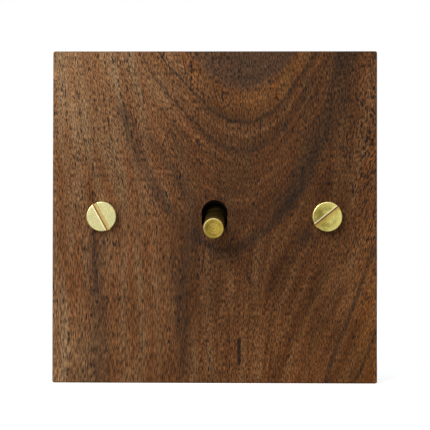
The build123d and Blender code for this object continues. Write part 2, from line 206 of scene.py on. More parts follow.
class Shade:
    """One output of a material's nodes. Sums and products of these add Math nodes."""

    def __init__(self, tree, socket):
        self.tree = tree
        self.socket = socket

    def node(self, kind, sockets=None, out=0, stops=None, points=None, **settings):
        """Adds a node: its settings first, then the values or links of its sockets."""
        made = self.tree.nodes.new("ShaderNode" + kind)
        for name, value in settings.items():
            setattr(made, name, value)
        if stops:
            ramp = made.color_ramp.elements
            while len(ramp) < len(stops):
                ramp.new(0.5)
            for element, (place, colour) in zip(ramp, stops):
                element.position = place
                element.color = (*colour, 1)
        if points:
            curve = made.mapping.curves[0]
            while len(curve.points) < len(points):
                curve.points.new(0.5, 0.5)
            for point, place in zip(curve.points, points):
                point.location = place
                point.handle_type = "AUTO_CLAMPED"
            made.mapping.update()
        for name, value in (sockets or {}).items():
            if isinstance(value, Shade):
                self.tree.links.new(value.socket, made.inputs[name])
            else:
                made.inputs[name].default_value = value
        return Shade(self.tree, made.outputs[out]) if len(made.outputs) else None

    def maths(self, operation, *values):
        """Adds a Math node for values or links."""
        return self.node("Math", dict(enumerate(values)), operation=operation)

    def __add__(self, other):
        return self.maths("ADD", self, other)

    def __radd__(self, other):
        return self.maths("ADD", other, self)

    def __sub__(self, other):
        return self.maths("SUBTRACT", self, other)

    def __rsub__(self, other):
        return self.maths("SUBTRACT", other, self)

    def __mul__(self, other):
        return self.maths("MULTIPLY", self, other)

    def __rmul__(self, other):
        return self.maths("MULTIPLY", other, self)

    def __truediv__(self, other):
        return self.maths("DIVIDE", self, other)

    def __abs__(self):
        return self.maths("ABSOLUTE", self)

    def between(self, low, high):
        """0 below low, 1 above high, eased between them; the other way round if high is the lower."""
        turned = low > high
        sockets = {0: self, 1: min(low, high), 2: max(low, high), 3: float(turned), 4: float(not turned)}
        return self.node("MapRange", sockets, interpolation_type="SMOOTHSTEP")

    def along(self, low, high, points):
        """A curve drawn through (input, output) points, with the input between low and high."""
        heights = [value for _, value in points]
        base, span = min(heights), max(heights) - min(heights)
        places = [((at - low) / (high - low), (value - base) / span) for at, value in points]
        share = (self - low) / (high - low)
        return self.node("FloatCurve", {1: share}, points=places) * span + base


def new_material(name):
    """An empty material and its Object coordinates, in mm."""
    made = bpy.data.materials.new(name)
    made.use_nodes = True
    made.node_tree.nodes.clear()
    place = Shade(made.node_tree, None).node("TexCoord", out=3)
    place = place.node("VectorMath", {0: place, 3: 1000.0}, operation="SCALE")
    return made, place


def axes(place):
    """The X, Y and Z of a vector."""
    x = place.node("SeparateXYZ", {0: place})
    return [Shade(x.tree, socket) for socket in x.socket.node.outputs]


def vector(x, y, z):
    """A vector of three values."""
    return x.node("CombineXYZ", {0: x, 1: y, 2: z})


def noise(place, scale, detail=2.0, rough=0.5):
    """Noise about 0, from -0.5 to 0.5."""
    sockets = {"Vector": place, "Scale": scale, "Detail": detail, "Roughness": rough}
    return place.node("TexNoise", sockets) - 0.5


def mix(amount, first, second, how="MIX"):
    """Two colours, mixed by an amount."""
    owner = next(value for value in (amount, first, second) if isinstance(value, Shade))
    first = first if isinstance(first, Shade) else (*first, 1)
    second = second if isinstance(second, Shade) else (*second, 1)
    sockets = {0: amount, 6: first, 7: second}
    return owner.node("Mix", sockets, out=2, data_type="RGBA", blend_type=how)


def finish_with(colour, relief, strength, distance, **sockets):
    """The surface itself: a colour, a relief in bump and the values of the shader's other sockets."""
    names = {key.replace("_", " ").title().replace("Ior", "IOR"): value for key, value in sockets.items()}
    bump = relief.node("Bump", {"Strength": strength, "Distance": distance * MM, "Height": relief})
    owner = relief.node("BsdfPrincipled", {"Base Color": colour, "Normal": bump, **names})
    owner.node("OutputMaterial", {"Surface": owner})


walnut, place = new_material("walnut")
x, y, z = axes(place)
y = y + PLATE_THICKNESS

# The fibres lean to the right going down at the upper left, and a little to the left at the right edge.
# The bands of colour lean further than the fibres at the lower right.
upper = z.between(-16, 20)
lean_left = x.along(-44, 44, [(-44, 0.08), (-20, 0.2), (-2, 0.1), (14, 0.0), (44, 0.0)])
lean_right = x.along(-44, 44, [(-44, 0.0), (2, 0.0), (12, 0.26), (20, 0.46), (44, 0.52)])
lean_edge = x.along(-44, 44, [(-44, 0.0), (16, 0.0), (32, 0.14), (44, 0.36)])
lower = z.maths("MINIMUM", z, 4.0)
drift = noise(vector(x / 16, y / 16, z / 34), 1.0, 1.0) * 3.4
across = x + lean_left * upper * z + drift + y * 0.2 - lean_edge * z.maths("MINIMUM", z, 17.0)
wander = noise(vector(across / 5, y / 5, z / 16), 1.0, 2.0)
across = across + wander * 1.4
flow = across - (lean_right - lean_edge) * lower

# The figure: arches that open upwards, their lowest points to the right of the middle.
arch = (x + noise(vector(x / 9, y / 9, z / 9), 1.0, 2.0) * 1.6).along(-44, 44, [
    (-44, 50), (-22.5, 33), (-18.7, 24), (-13.9, 17.2), (-9.1, 11.8), (-4, 6.4),
    (0.8, 2.2), (6.2, 0.1), (9.4, 0.1), (13, 1.6), (16.1, 3.6), (19, 6.6), (22.8, 11.8),
    (26.2, 17.4), (29, 22), (31, 29), (33, 42), (44, 50),
])
ring = z - arch + y * 0.9 + noise(vector(x / 3.4, y / 3, z / 5), 1.0, 2.0) * 1.1


def stroke(ring, at, width, soft):
    """A dark line of the figure, sharper on its lower side."""
    off = ring - at
    return off.between(-soft, 0) * off.between(width, 0)


inner_pocket = ring.between(32.6, 36.0)
first_arch = stroke(ring, 25.2, 1.7, 0.5)
second_arch = stroke(ring, 17.4, 2.2, 0.8)
third_arch = stroke(ring, -2.4, 8.0, 3.6) * x.between(12, 24) * z.between(-4, 12)
inner_glow = ring.between(25.0, 28.5) * ring.between(36.0, 31.5)


def streak(points, width, low, high, fade=7.0):
    """A soft dark streak along a line of (height, X) points, between two heights."""
    line = z.along(-45, 45, points)
    off = abs(x + wander * 0.9 + drift * 0.1 - line)
    return off.between(width, width * 0.2) * z.between(low - fade, low) * z.between(high + fade, high)


# Long streaks of darker wood.
middle = streak([
    (-45, -8.2), (-34.7, -7.8), (-20.8, -9.1), (-8.7, -6.5), (3.6, -6), (7.6, -8.0),
    (17.2, -14.8), (26, -19.6), (45, -28),
], 3.6, -38, 20, 8)
left_low = streak([
    (-45, -30.8), (-26.9, -30.8), (-14.6, -32.2), (-4.4, -31.8), (45, -36),
], 4.8, -45, -8)
left_high = streak([
    (-45, -9), (-6, -9.5), (4.1, -14), (13.8, -19), (26.6, -23.8), (45, -30),
], 3.4, 2, 28, 5)
left_chain = streak([
    (-45, -31), (-14.6, -32), (5.5, -32.7), (19.4, -34.8), (30.6, -36.7), (45, -39),
], 0.9, -20, 34)
right_high = streak([
    (-45, 16), (4, 19.5), (8.4, 22), (12.7, 24.6), (21.3, 29.2), (34, 33.6), (45, 35),
], 6.2, 5, 45)
right_low = streak([
    (-45, 29.5), (-36.3, 32.1), (-27.2, 35.9), (-13.8, 40.7), (-8, 43), (45, 60),
], 1.2, -44, -9, 3)
corner_low = streak([(-45, 37), (-39.5, 39.6), (-31, 42.8), (45, 60)], 0.9, -43, -31, 2)
inner_low = streak([(-45, 11), (-26, 14.4), (-13.3, 18.7), (-6.3, 23.6), (45, 50)], 3.6, -30, -4, 8)
slit = streak([(-45, 6.6), (45, 7.0)], 0.8, -39, -33, 1.5)

# A dark patch below the right screw, and the dark bend that joins two streaks below the lever.
dark_patch = abs(z + 5.8 + wander * 2).between(4.4, 0.6) * abs(x - 25.4 + wander * 1.5).between(5.4, 1.0)
hollow = x.along(-44, 44, [
    (-44, 12), (-8, -3), (-2.4, -6.6), (2.9, -9.3), (7.2, -7.7), (12.6, -4.4), (19, 2), (24, 8),
    (44, 30),
])
basin = abs(z - hollow + wander * 2.2).between(3.4, 0.4) * x.between(-8, -2) * x.between(27, 19)

# Tone across the board: tan at the left edge, dark right of the middle, orange-brown at the right edge.
tone = (x * 0.6 + across * 0.4).along(-48, 48, [
    (-48, 0.84), (-36, 0.75), (-24, 0.64), (-14, 0.52), (-6, 0.31), (4, 0.27), (14, 0.28),
    (24, 0.2), (32, 0.2), (38, 0.34), (48, 0.42),
])

# Paler and darker parts: how much, and the ramps along X and along Z at which each fades in.
for amount, x_ramps, z_ramps in (
    (0.18, [(10, -24)], [(10, 44)]),
    (-0.17, [(-12, -40)], [(34, -4)]),
    (0.18, [(-16, 0), (40, 24)], [(-18, -42)]),
    (0.17, [(24, 33)], [(-8, -18), (-32, -24)]),
    (-0.24, [(30, 40)], [(-20, -32)]),
    (-0.1, [(-17, -12), (4, -3)], [(3, -4), (-34, -26)]),
    (0.13, [(1, 5), (14, 9)], [(-12, -18), (-29, -22)]),
    (0.13, [(-17, -13), (1, -6)], [(28, 34)]),
    (0.24, [(-34, -40)], [(-12, -26)]),
    (-0.13, [(-3, 4), (22, 14)], [(-5, 2), (14, 8)]),
):
    ramps = [x.between(*ramp) for ramp in x_ramps] + [z.between(*ramp) for ramp in z_ramps]
    tone = tone + math.prod(ramps[1:], start=ramps[0]) * amount

# Bands of tone: along the fibres, around the arches, and broad ones at the lower right.
arched = ring.between(-12, 6) * x.between(-27, -15) * x.between(39, 31)
bands = noise(vector(flow / 2.6, y / 3, z / 28), 1.0, 3.0)
bands = bands + noise(vector(flow / 6, y / 7, z / 18), 1.0, 2.0) * 0.7
rings = noise(vector(ring / 2.6, y / 3, x / 22), 1.0, 2.0)
lower_right = z.between(-2, -16) * x.between(0, 14)
broad = noise(vector(flow / 3.4, y / 4, z / 30 + 5.0), 1.0, 1.0)
tone = tone + broad * lower_right * 0.85 + bands * (1.0 - arched * 0.75) * 0.86 + rings * arched * 0.8
brown = tone.node("ValToRGB", {0: tone}, stops=WALNUT_TONES)

# Hue: orange inside the arches and at the right edge, warm and cool bands, redder to the right.
orange = inner_glow * x.between(-2, 18) * 0.4 + x.between(33, 43) * z.between(30, 14) * 0.55
orange = orange + z.between(-6, -36) * x.between(-10, 8) * 0.3 + inner_glow * 0.3
orange = orange * (noise(vector(across / 1.6, y / 2, z / 9), 1.0, 3.0) * 1.6 + 0.8)
brown = mix(orange.between(0.0, 1.1), brown, ORANGE_WOOD)
hue = noise(vector(flow / 2.6, y / 3, z / 30), 1.0, 2.0).between(-0.22, 0.22)
brown = mix(1.0, brown, mix(hue, WARM_BAND, COOL_BAND), "MULTIPLY")
redder = x.between(2, 20) * z.between(18, -6)
brown = mix(1.0, brown, mix(redder, (1.0, 1.0, 1.0), RED_CAST), "MULTIPLY")

# How dark each mark of the figure is.
figure = first_arch
for mark, depth in (
    (second_arch, 0.8),
    (third_arch, 0.3),
    (right_high, 0.68),
    (middle, 0.6),
    (left_low, 0.62),
    (left_high, 0.72),
    (right_low, 0.85),
    (corner_low, 0.9),
    (inner_low, 0.2),
    (basin, 0.85),
    (dark_patch, 0.6),
    (slit, 1.5),
    (left_chain, 0.3),
):
    figure = figure + mark * depth
patchy = noise(vector(across / 1.3, y / 2, z / 10), 1.0, 3.0) * 1.2 + 0.9
dark = mix(x.between(-14, 2), LEFT_FIGURE, RIGHT_FIGURE)
brown = mix((figure * patchy).between(0.0, 1.3), brown, dark)
brown = mix(inner_pocket * 0.6, brown, INNER_WOOD)

# Fibres, and pores: short dark dashes, each in its own cell of a long thin mesh.
fibre = noise(vector(across * 4.3, y * 4.3, z * 0.95), 1.0, 1.0)
long_fibre = noise(vector(across * 4.3, y * 4.3, z * 0.52 + 9.0), 1.0, 1.0)
fibre = mix(z.between(14, -14) * x.between(2, -14) * 0.5 + 0.2, fibre, long_fibre)
fleck = noise(vector(across * 1.2, y * 1.2, z * 0.30), 1.0, 1.0)
strong = x.maths("MAXIMUM", x.between(16, -12), x.between(34, 42)) * 0.1
strong = strong + z.between(4, -12) * x.between(0, 14) * 0.12 + 0.9
lit_fibre = (fibre * 6.0 + fleck * 0.9) * strong + 1.04
lit_fibre = lit_fibre.maths("MAXIMUM", lit_fibre, 0.3)
brown = mix(1.0, brown, vector(lit_fibre, lit_fibre, lit_fibre), "MULTIPLY")


def pores(across_each, along_each, size):
    """Dashes of random length, one to a cell."""
    cells = vector(across * across_each, y * across_each, z * along_each)
    nearest = cells.node("TexVoronoi", {"Vector": cells, "Scale": 1.0, "Randomness": 1.0})
    return nearest.between(size, size * 0.45)


# The larger pores stand in long chains.
chain = noise(vector(across / 0.9, y / 1.2, z / 26), 1.0, 2.0)
chain = chain + noise(vector(x / 6, y / 6, z / 9), 1.0, 1.0) * 0.5
chain = chain + x.between(35, 41) * z.between(-14, 0) * z.between(34, 24) * 0.25 + left_chain * 0.3
chain = chain - x.between(-4, 12) * z.between(0, -14) * x.between(38, 32) * 0.08
chain = chain.between(-0.02, 0.15)
pore = pores(2.1, 0.5, 0.46) * chain
fine_pore = pores(2.6, 0.85, 0.40)
dark = (pore * 0.95 + fine_pore * 0.36).between(0.0, 1.0)
brown = mix(dark, brown, OPEN_PORE)

# The lever's hole is painted near black inside, as painted shade, so that its wall doesn't show.
stain_and_shade = abs(x).between(3.9, 3.7) * abs(z).between(4.9, 4.7) * y.between(0.1, 0.4)
brown = mix(stain_and_shade, brown, HOLE_SHADE)

finish_with(
    brown,
    fibre * 0.35 + fleck * 0.3 - pore * 0.8 - fine_pore * 0.4,
    strength=0.5,
    distance=0.10,
    roughness=dark * 0.2 + fibre * 0.15 + stain_and_shade * 0.5 + 0.50,
    specular_ior_level=0.07,
)
dress(plate, walnut)
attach(plate, "switch_body")
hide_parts("wall_plate")


# The two screws: machined brass, a cheese head with a driver slot on a neck and a rolled M3.5 thread.
# They go through the plate and the strap's slots into the lugs of the wall box.
HEAD_RADIUS = 4.0
HEAD_TOP = -10.6
HEAD_EDGE = 0.22
SLOT_WIDTH = 1.2
SLOT_DEPTH = 1.3
LEFT_SLOT_ANGLE = -61.4
RIGHT_SLOT_ANGLE = 38.8
NECK = 1.55
THREAD = 1.75
THREAD_ROOT = 1.42
THREAD_PITCH = 0.6
THREAD_START = -0.4
SCREW_END = 22.0
# Painted highlight and painted shade for the rims of turned brass.
LIT_BRASS = (1.0, 0.84, 0.42)
SHADED_BRASS = (0.17, 0.115, 0.03)
PALE_BRASS = (0.66, 0.62, 0.33)
PALE_TARNISH = (0.54, 0.48, 0.21)
BRIGHT_BRASS = (0.82, 0.72, 0.23)
BRIGHT_TARNISH = (0.24, 0.185, 0.03)
# Painted highlight for a slot's edge, grime and painted shade inside the slot, and painted shadow by its
# wall.
EDGE_HIGHLIGHT = (1.0, 0.93, 0.62)
SLOT_SHADE_AND_GRIME = (0.50, 0.34, 0.09)
SLOT_SHADOW = (0.36, 0.16, 0.012)


def thread(name, outer, root, pitch, front, back, steps=24):
    """A thread along Y: one turn's profile, screwed back, then cut off square and closed at both ends."""
    bpy.ops.object.select_all(action="DESELECT")
    bpy.ops.mesh.primitive_plane_add(size=MM)
    piece = bpy.context.object
    piece.name = name
    profile = [(root, 0.0), (outer, 0.4), (outer, 0.52), (root, 0.92), (root, 1.0)]
    places = [(radius, front + (share - 1) * pitch) for radius, share in profile]
    bpy.context.tool_settings.mesh_select_mode = (True, False, False)
    bpy.ops.object.mode_set(mode="EDIT")
    bpy.ops.mesh.select_all(action="SELECT")
    bpy.ops.mesh.merge(type="CENTER")
    bpy.ops.transform.translate(value=(places[0][0] * MM, places[0][1] * MM, 0))
    for (x0, y0), (x1, y1) in zip(places, places[1:]):
        move = {"value": ((x1 - x0) * MM, (y1 - y0) * MM, 0)}
        bpy.ops.mesh.extrude_vertices_move(TRANSFORM_OT_translate=move)
    bpy.ops.object.mode_set(mode="OBJECT")
    turn = piece.modifiers.new("turn", "SCREW")
    turn.axis = "Y"
    turn.screw_offset = pitch * MM
    turn.iterations = math.ceil((back - front) / pitch) + 2
    turn.steps = turn.render_steps = steps
    turn.use_merge_vertices = True
    turn.merge_threshold = 0.005 * MM
    bpy.ops.object.modifier_apply(modifier=turn.name)
    bpy.ops.object.mode_set(mode="EDIT")
    for depth, side in ((front, -1), (back, 1)):
        bpy.ops.mesh.select_all(action="SELECT")
        bpy.ops.mesh.bisect(
            plane_co=(0, depth * MM, 0),
            plane_no=(0, side, 0),
            use_fill=True,
            clear_outer=True,
            threshold=0.001 * MM,
        )
    bpy.ops.mesh.select_all(action="SELECT")
    bpy.ops.mesh.remove_doubles(threshold=0.002 * MM)
    bpy.ops.mesh.normals_make_consistent(inside=False)
    bpy.ops.object.mode_set(mode="OBJECT")
    return piece


def joined(name, *pieces):
    """Makes one piece of several."""
    only(pieces[0])
    for piece in pieces[1:]:
        piece.select_set(True)
    bpy.ops.object.join()
    pieces[0].name = name
    return pieces[0]


def turned_brass(name, colour, dull, centre, radius, tilt, rings, sweep, rim, brushed, angle):
    """Brass turned about Y: the lathe's rings, a painted sheen to one side, tarnish, and on the rim a
    painted highlight above and painted shade below.

    Returns the material, its colour, roughness and relief, its depth, and the distance across the grain.
    """
    finish, place = new_material(name)
    turned_to = {"Vector": place, "Location": centre, "Rotation": (math.radians(tilt), 0, 0)}
    place = place.node("Mapping", turned_to, vector_type="TEXTURE")
    x, y, z = axes(place)
    out = x.maths("SQRT", x * x + z * z)
    ring = noise(vector(out * 2.0 + noise(place, 0.9, 1.0) * 0.6, y * 2.5, 0.0), 1.0, 4.0, 0.65)
    # Painted sheen: the face is lighter to the right and darker to the left, with a little random spread.
    sheen = (x * 0.95 + z * 0.1) / (out + 0.6)
    sheen = sheen + noise(vector(x / out * 1.5, z / out * 1.5, 2.0), 1.0, 1.0)
    slant = math.radians(angle)
    along = x * math.cos(slant) + z * math.sin(slant)
    over = z * math.cos(slant) - x * math.sin(slant)
    grain = noise(vector(over * 7.0, along * 0.5, y * 2), 1.0, 3.0, 0.65)
    tarnish = noise(place, 0.55, 3.0, 0.6)
    speck = noise(place, 4.5, 2.0)
    shade = ring * rings + grain * brushed + tarnish * 0.8 - sheen * sweep + speck * 0.3 + 0.5
    colour = mix(shade.between(0.0, 1.0), colour, dull)
    # Painted highlight on the rim's upper left, and painted shade on its lower right.
    painted_rim_highlight = out.between(radius - 0.4, radius - 0.24) * (z - x * 0.7).between(-radius * 0.5, radius)
    colour = mix(painted_rim_highlight * rim, colour, LIT_BRASS)
    painted_rim_shade = out.between(radius - 0.34, radius - 0.08)
    painted_rim_shade = painted_rim_shade * (x * 0.7 - z).between(-radius * 0.7, radius * 0.5)
    colour = mix(painted_rim_shade * 0.65, colour, SHADED_BRASS)
    relief = ring * rings + grain * brushed + speck * 0.15
    return finish, colour, tarnish * 0.18 + speck * 0.1 + 0.27, relief, y, over


def cheese_head_screw(name, x, slot_angle):
    """A screw at a place on X, with its slot turned by an angle."""
    head = bar("screw_head", HEAD_RADIUS, HEAD_TOP, -PLATE_THICKNESS, sides=128)
    ease(head, at_depth(HEAD_TOP), HEAD_EDGE, 4)
    slot_size = (3 * HEAD_RADIUS, SLOT_DEPTH + 1, SLOT_WIDTH)
    slot = block("slot", slot_size, (0, HEAD_TOP + (SLOT_DEPTH - 1) / 2, 0))
    slot.rotation_euler.y = -math.radians(slot_angle)
    settle(slot)
    cut_out(head, slot)
    neck = bar("screw_neck", NECK, -PLATE_THICKNESS, THREAD_START, sides=48)
    shank = thread("screw_thread", THREAD, THREAD_ROOT, THREAD_PITCH, THREAD_START, SCREW_END)
    screw = joined(name, head, neck, shank)
    screw.location.x = x * MM
    settle(screw)
    smooth(screw, 30)
    return screw


def slotted_brass(made, painted_side):
    """Finishes a screw's brass around its slot: a painted highlight along one edge, a floor and walls
    darker for grime and painted shade, and a painted shadow by one wall.
    """
    finish, colour, rough, relief, y, over = made
    # The painted side is the one where the painted highlight and the painted shadow fall.
    over = over * painted_side
    # Painted highlight along the slot's edge on the painted side, at the face of the head.
    painted_edge_highlight = over.between(0.58, 0.64) * over.between(1.0, 0.8)
    painted_edge_highlight = painted_edge_highlight * y.between(HEAD_TOP + 0.08, HEAD_TOP + 0.02)
    colour = mix(painted_edge_highlight * 0.7, colour, EDGE_HIGHLIGHT)
    # The slot's floor and walls are darker: partly grime, partly painted shade.
    inside = y.between(HEAD_TOP + 0.12, HEAD_TOP + 0.4) * y.between(HEAD_TOP + 1.5, HEAD_TOP + 1.4)
    inside = inside * abs(over).between(0.75, 0.62)
    # Painted shadow: a dark line on the slot's floor along the wall on the painted side.
    painted_slot_shadow = inside * over.between(0.12, 0.34)
    colour = mix(inside * 0.7, colour, SLOT_SHADE_AND_GRIME)
    colour = mix(painted_slot_shadow, colour, SLOT_SHADOW)
    finish_with(
        colour,
        relief,
        strength=0.5,
        distance=0.04,
        roughness=rough + painted_slot_shadow * 0.4,
        metallic=1.0 - painted_slot_shadow,
    )
    return finish


left_screw = cheese_head_screw("screw_left", -SCREW_X, LEFT_SLOT_ANGLE)
pale_brass = turned_brass(
    "pale_brass",
    PALE_BRASS,
    PALE_TARNISH,
    centre=(-SCREW_X, 0, 0),
    radius=HEAD_RADIUS,
    tilt=0,
    rings=0.3,
    sweep=0.0,
    rim=0.0,
    brushed=0.6,
    angle=LEFT_SLOT_ANGLE,
)
dress(left_screw, slotted_brass(pale_brass, painted_side=-1))
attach(left_screw, "switch_body")
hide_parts("fixing_screw_left")

right_screw = cheese_head_screw("screw_right", SCREW_X, RIGHT_SLOT_ANGLE)
bright_brass = turned_brass(
    "bright_brass",
    BRIGHT_BRASS,
    BRIGHT_TARNISH,
    centre=(SCREW_X, 0, 0),
    radius=HEAD_RADIUS,
    tilt=0,
    rings=1.3,
    sweep=0.32,
    rim=0.5,
    brushed=0.4,
    angle=RIGHT_SLOT_ANGLE,
)
dress(right_screw, slotted_brass(bright_brass, painted_side=1))
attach(right_screw, "switch_body")
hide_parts("fixing_screw_right")


# The lever: turned from one brass bar, with a plain round rod, a ball and a hollow tail behind it.
# A steel pin through the ball carries it, so the visible end tips up and down.
LEVER_PIVOT = (0.0, -0.8, 0.0)
LEVER_TILT = 10.0
ROD = 2.7
TIP = -18.7
TIP_EDGE = 0.22
BALL = 4.5
BALL_BAND = 1.2
TAIL = 3.0
TAIL_END = 8.0
TAIL_EDGE = 0.2
BORE = 1.6
BORE_FLOOR = 1.8
PIN_HOLE = 0.95
LEVER_BRASS = (0.62, 0.45, 0.085)
LEVER_TARNISH = (0.20, 0.13, 0.018)
# Painted shade for the lever's rod in the hole.
ROD_SHADE = (0.085, 0.056, 0.012)


def turned_piece(name, profile, sides=96):
    """A piece turned about Y: a disc at the first (depth, radius), drawn out ring by ring to the last."""
    depth, radius = profile[0]
    bpy.ops.object.select_all(action="DESELECT")
    bpy.ops.mesh.primitive_circle_add(
        vertices=sides,
        radius=radius * MM,
        fill_type="NGON",
        location=(0, depth * MM, 0),
        rotation=(math.pi / 2, 0, 0),
    )
    piece = bpy.context.object
    piece.name = name
    settle(piece)
    bpy.ops.object.mode_set(mode="EDIT")
    bpy.ops.mesh.select_all(action="SELECT")
    for (y0, r0), (y1, r1) in zip(profile, profile[1:]):
        bpy.ops.mesh.extrude_region_move(TRANSFORM_OT_translate={"value": (0, (y1 - y0) * MM, 0)})
        size = r1 / r0
        bpy.ops.transform.resize(value=(size, 1, size), center_override=(0, y1 * MM, 0))
    bpy.ops.mesh.select_all(action="SELECT")
    bpy.ops.mesh.normals_make_consistent(inside=False)
    bpy.ops.object.mode_set(mode="OBJECT")
    return piece


def arc(radius, start, end, steps):
    """Points of a ball's section, between two angles from its front."""
    angles = [math.radians(start + (end - start) * i / steps) for i in range(steps + 1)]
    return [(-radius * math.cos(angle), radius * math.sin(angle)) for angle in angles]


front_start = math.degrees(math.asin(ROD / BALL))
band_start = math.degrees(math.acos(BALL_BAND / BALL))
tail_start = 180 - math.degrees(math.asin(TAIL / BALL))
lever = turned_piece("lever", [
    (TIP, ROD - TIP_EDGE),
    (TIP + TIP_EDGE * 0.13, ROD - TIP_EDGE * 0.5),
    (TIP + TIP_EDGE * 0.5, ROD - TIP_EDGE * 0.13),
    (TIP + TIP_EDGE, ROD),
    *arc(BALL, front_start, band_start, 8),
    *arc(BALL, 180 - band_start, tail_start, 8),
    (TAIL_END - TAIL_EDGE, TAIL),
    (TAIL_END, TAIL - TAIL_EDGE),
    (TAIL_END, BORE),
    (BORE_FLOOR, BORE),
])
pin_hole = bar("pin_hole", PIN_HOLE, -BALL - 1.5, BALL + 1.5, sides=48)
pin_hole.rotation_euler.z = math.pi / 2
settle(pin_hole)
cut_out(lever, pin_hole)
lever.location = [c * MM for c in LEVER_PIVOT]
lever.rotation_euler.x = math.radians(LEVER_TILT)
settle(lever)
smooth(lever, 30)

lever_brass, colour, rough, relief, y, _ = turned_brass(
    "lever_brass",
    LEVER_BRASS,
    LEVER_TARNISH,
    centre=LEVER_PIVOT,
    radius=ROD,
    tilt=LEVER_TILT,
    rings=1.5,
    sweep=0.3,
    rim=0.4,
    brushed=0.1,
    angle=0,
)
# Painted shade on the rod: darker from just behind the tip back into the plate's hole.
painted_rod_shade = y.between(TIP + 0.5, TIP + 4.5) * 0.8 + y.between(TIP + 0.15, TIP + 0.4) * 0.2
colour = mix(painted_rod_shade.between(0.0, 1.0), colour, ROD_SHADE)
finish_with(colour, relief, strength=0.5, distance=0.05, roughness=rough + painted_rod_shade * 0.2, metallic=1.0)
dress(lever, lever_brass)
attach(lever, "lever")
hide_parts("toggle_lever")


# The mechanism behind the plate, as such switches have it: a strap and a bent frame of zinc-plated steel,
# a case and base of black moulding, brass terminals and rocker, silver contact tips and a fibre card.
# Its pieces are pressed, bent, moulded and riveted. Most keep the shape that the CAD model gives them.
ZINC_DULL = (0.42, 0.44, 0.46)
ZINC_BRIGHT = (0.66, 0.68, 0.69)
GROUND_STEEL = (0.46, 0.46, 0.47)
GROUND_STAIN = (0.26, 0.26, 0.27)
DRAWN_WIRE = (0.50, 0.51, 0.53)
WIRE_STAIN = (0.30, 0.30, 0.32)
BLACK_PHENOLIC = (0.014, 0.013, 0.013)
GREYED_PHENOLIC = (0.036, 0.033, 0.031)
MOULD_DUST = (0.10, 0.09, 0.08)
RED_FIBRE = (0.19, 0.042, 0.022)
PALE_FIBRE = (0.36, 0.105, 0.052)
SHEET_BRASS = (0.72, 0.54, 0.25)
BROWN_TARNISH = (0.44, 0.29, 0.11)
BATH_BLACK = (0.004, 0.0035, 0.003)
RUBBED_BROWN = (0.016, 0.012, 0.008)
DEEP_IVORY = (0.60, 0.54, 0.40)
PALE_IVORY = (0.74, 0.69, 0.56)
CLEAN_SILVER = (0.84, 0.83, 0.79)
SILVER_BLOOM = (0.58, 0.53, 0.42)


def plated_steel():
    """Zinc plate: bluish grey, with crystals, rolling lines and a dull bloom."""
    finish, place = new_material("zinc_plate")
    x, y, z = axes(place)
    crystal = place.node("TexVoronoi", {"Vector": place, "Scale": 0.55, "Randomness": 1.0}, out=1)
    crystal = crystal.node("SeparateColor", {0: crystal})
    rolled = noise(vector(x * 0.4, y * 5, z * 5), 1.0, 3.0)
    bloom = noise(place, 0.25, 4.0, 0.6)
    shade = crystal * 0.25 + rolled * 0.5 + bloom * 0.9 + 0.4
    colour = mix(shade.between(0.0, 1.0), ZINC_DULL, ZINC_BRIGHT)
    roughness = crystal * 0.10 + bloom * 0.25 + 0.33
    finish_with(colour, rolled * 0.5 + bloom * 0.2, 0.2, 0.03, roughness=roughness, metallic=1.0)
    return finish


def bare_steel(name, light, stain_and_shade, rough):
    """Ground or drawn steel, with fine lines."""
    finish, place = new_material(name)
    x, y, z = axes(place)
    lines = noise(vector(x * 0.6, y * 8, z * 8), 1.0, 3.0)
    stain = noise(place, 0.6, 3.0)
    colour = mix((stain * 1.4 + lines + 0.5).between(0.0, 1.0), stain_and_shade, light)
    finish_with(colour, lines, 0.2, 0.02, roughness=stain * 0.2 + rough, metallic=1.0)
    return finish


def moulding():
    """Black phenolic: a low gloss with flow marks, a fine grain and pale dust in it."""
    finish, place = new_material("black_moulding")
    flow = noise(place, 0.18, 4.0, 0.6)
    grain = noise(place, 4.5, 3.0, 0.6)
    dust = noise(place, 13.0, 1.0).between(0.22, 0.34)
    colour = mix((flow * 1.3 + 0.5).between(0.0, 1.0), BLACK_PHENOLIC, GREYED_PHENOLIC)
    colour = mix(dust * 0.35, colour, MOULD_DUST)
    finish_with(colour, grain + flow * 0.6, 0.25, 0.03, roughness=flow * 0.25 + grain * 0.1 + 0.4)
    return finish


def fibre_board():
    """Red-brown pressed fibre, with a felted grain."""
    finish, place = new_material("fibre_board")
    x, y, z = axes(place)
    felt = noise(vector(x * 1.6, y * 6, z * 3.2), 1.0, 4.0, 0.7)
    cloud = noise(place, 0.3, 3.0)
    colour = mix((felt * 1.6 + cloud + 0.5).between(0.0, 1.0), RED_FIBRE, PALE_FIBRE)
    finish_with(colour, felt, 0.4, 0.05, roughness=felt * 0.2 + 0.68)
    return finish


def pressed_brass():
    """Pressed and machined brass, a little tarnished, with rolling lines."""
    finish, place = new_material("pressed_brass")
    x, y, z = axes(place)
    rolled = noise(vector(x * 5, y * 5, z * 0.4), 1.0, 3.0)
    tarnish = noise(place, 0.35, 4.0, 0.65)
    speck = noise(place, 6.0, 2.0)
    shade = tarnish * 1.5 + rolled * 0.4 + speck * 0.3 + 0.45
    colour = mix(shade.between(0.0, 1.0), SHEET_BRASS, BROWN_TARNISH)
    relief = rolled * 0.6 + speck * 0.3
    finish_with(colour, relief, 0.25, 0.02, roughness=tarnish * 0.3 + 0.32, metallic=1.0)
    return finish


def blackened_brass():
    """Brass blackened in a bath: nearly matt, brown where it is rubbed."""
    finish, place = new_material("blackened_brass")
    rubbed = noise(place, 0.9, 4.0, 0.6)
    grain = noise(place, 6.0, 2.0)
    colour = mix((rubbed * 2.0 + 0.35).between(0.0, 1.0), BATH_BLACK, RUBBED_BROWN)
    roughness = rubbed * 0.2 + 0.7
    finish_with(colour, grain, 0.3, 0.02, roughness=roughness, metallic=0.2, specular_ior_level=0.1)
    return finish


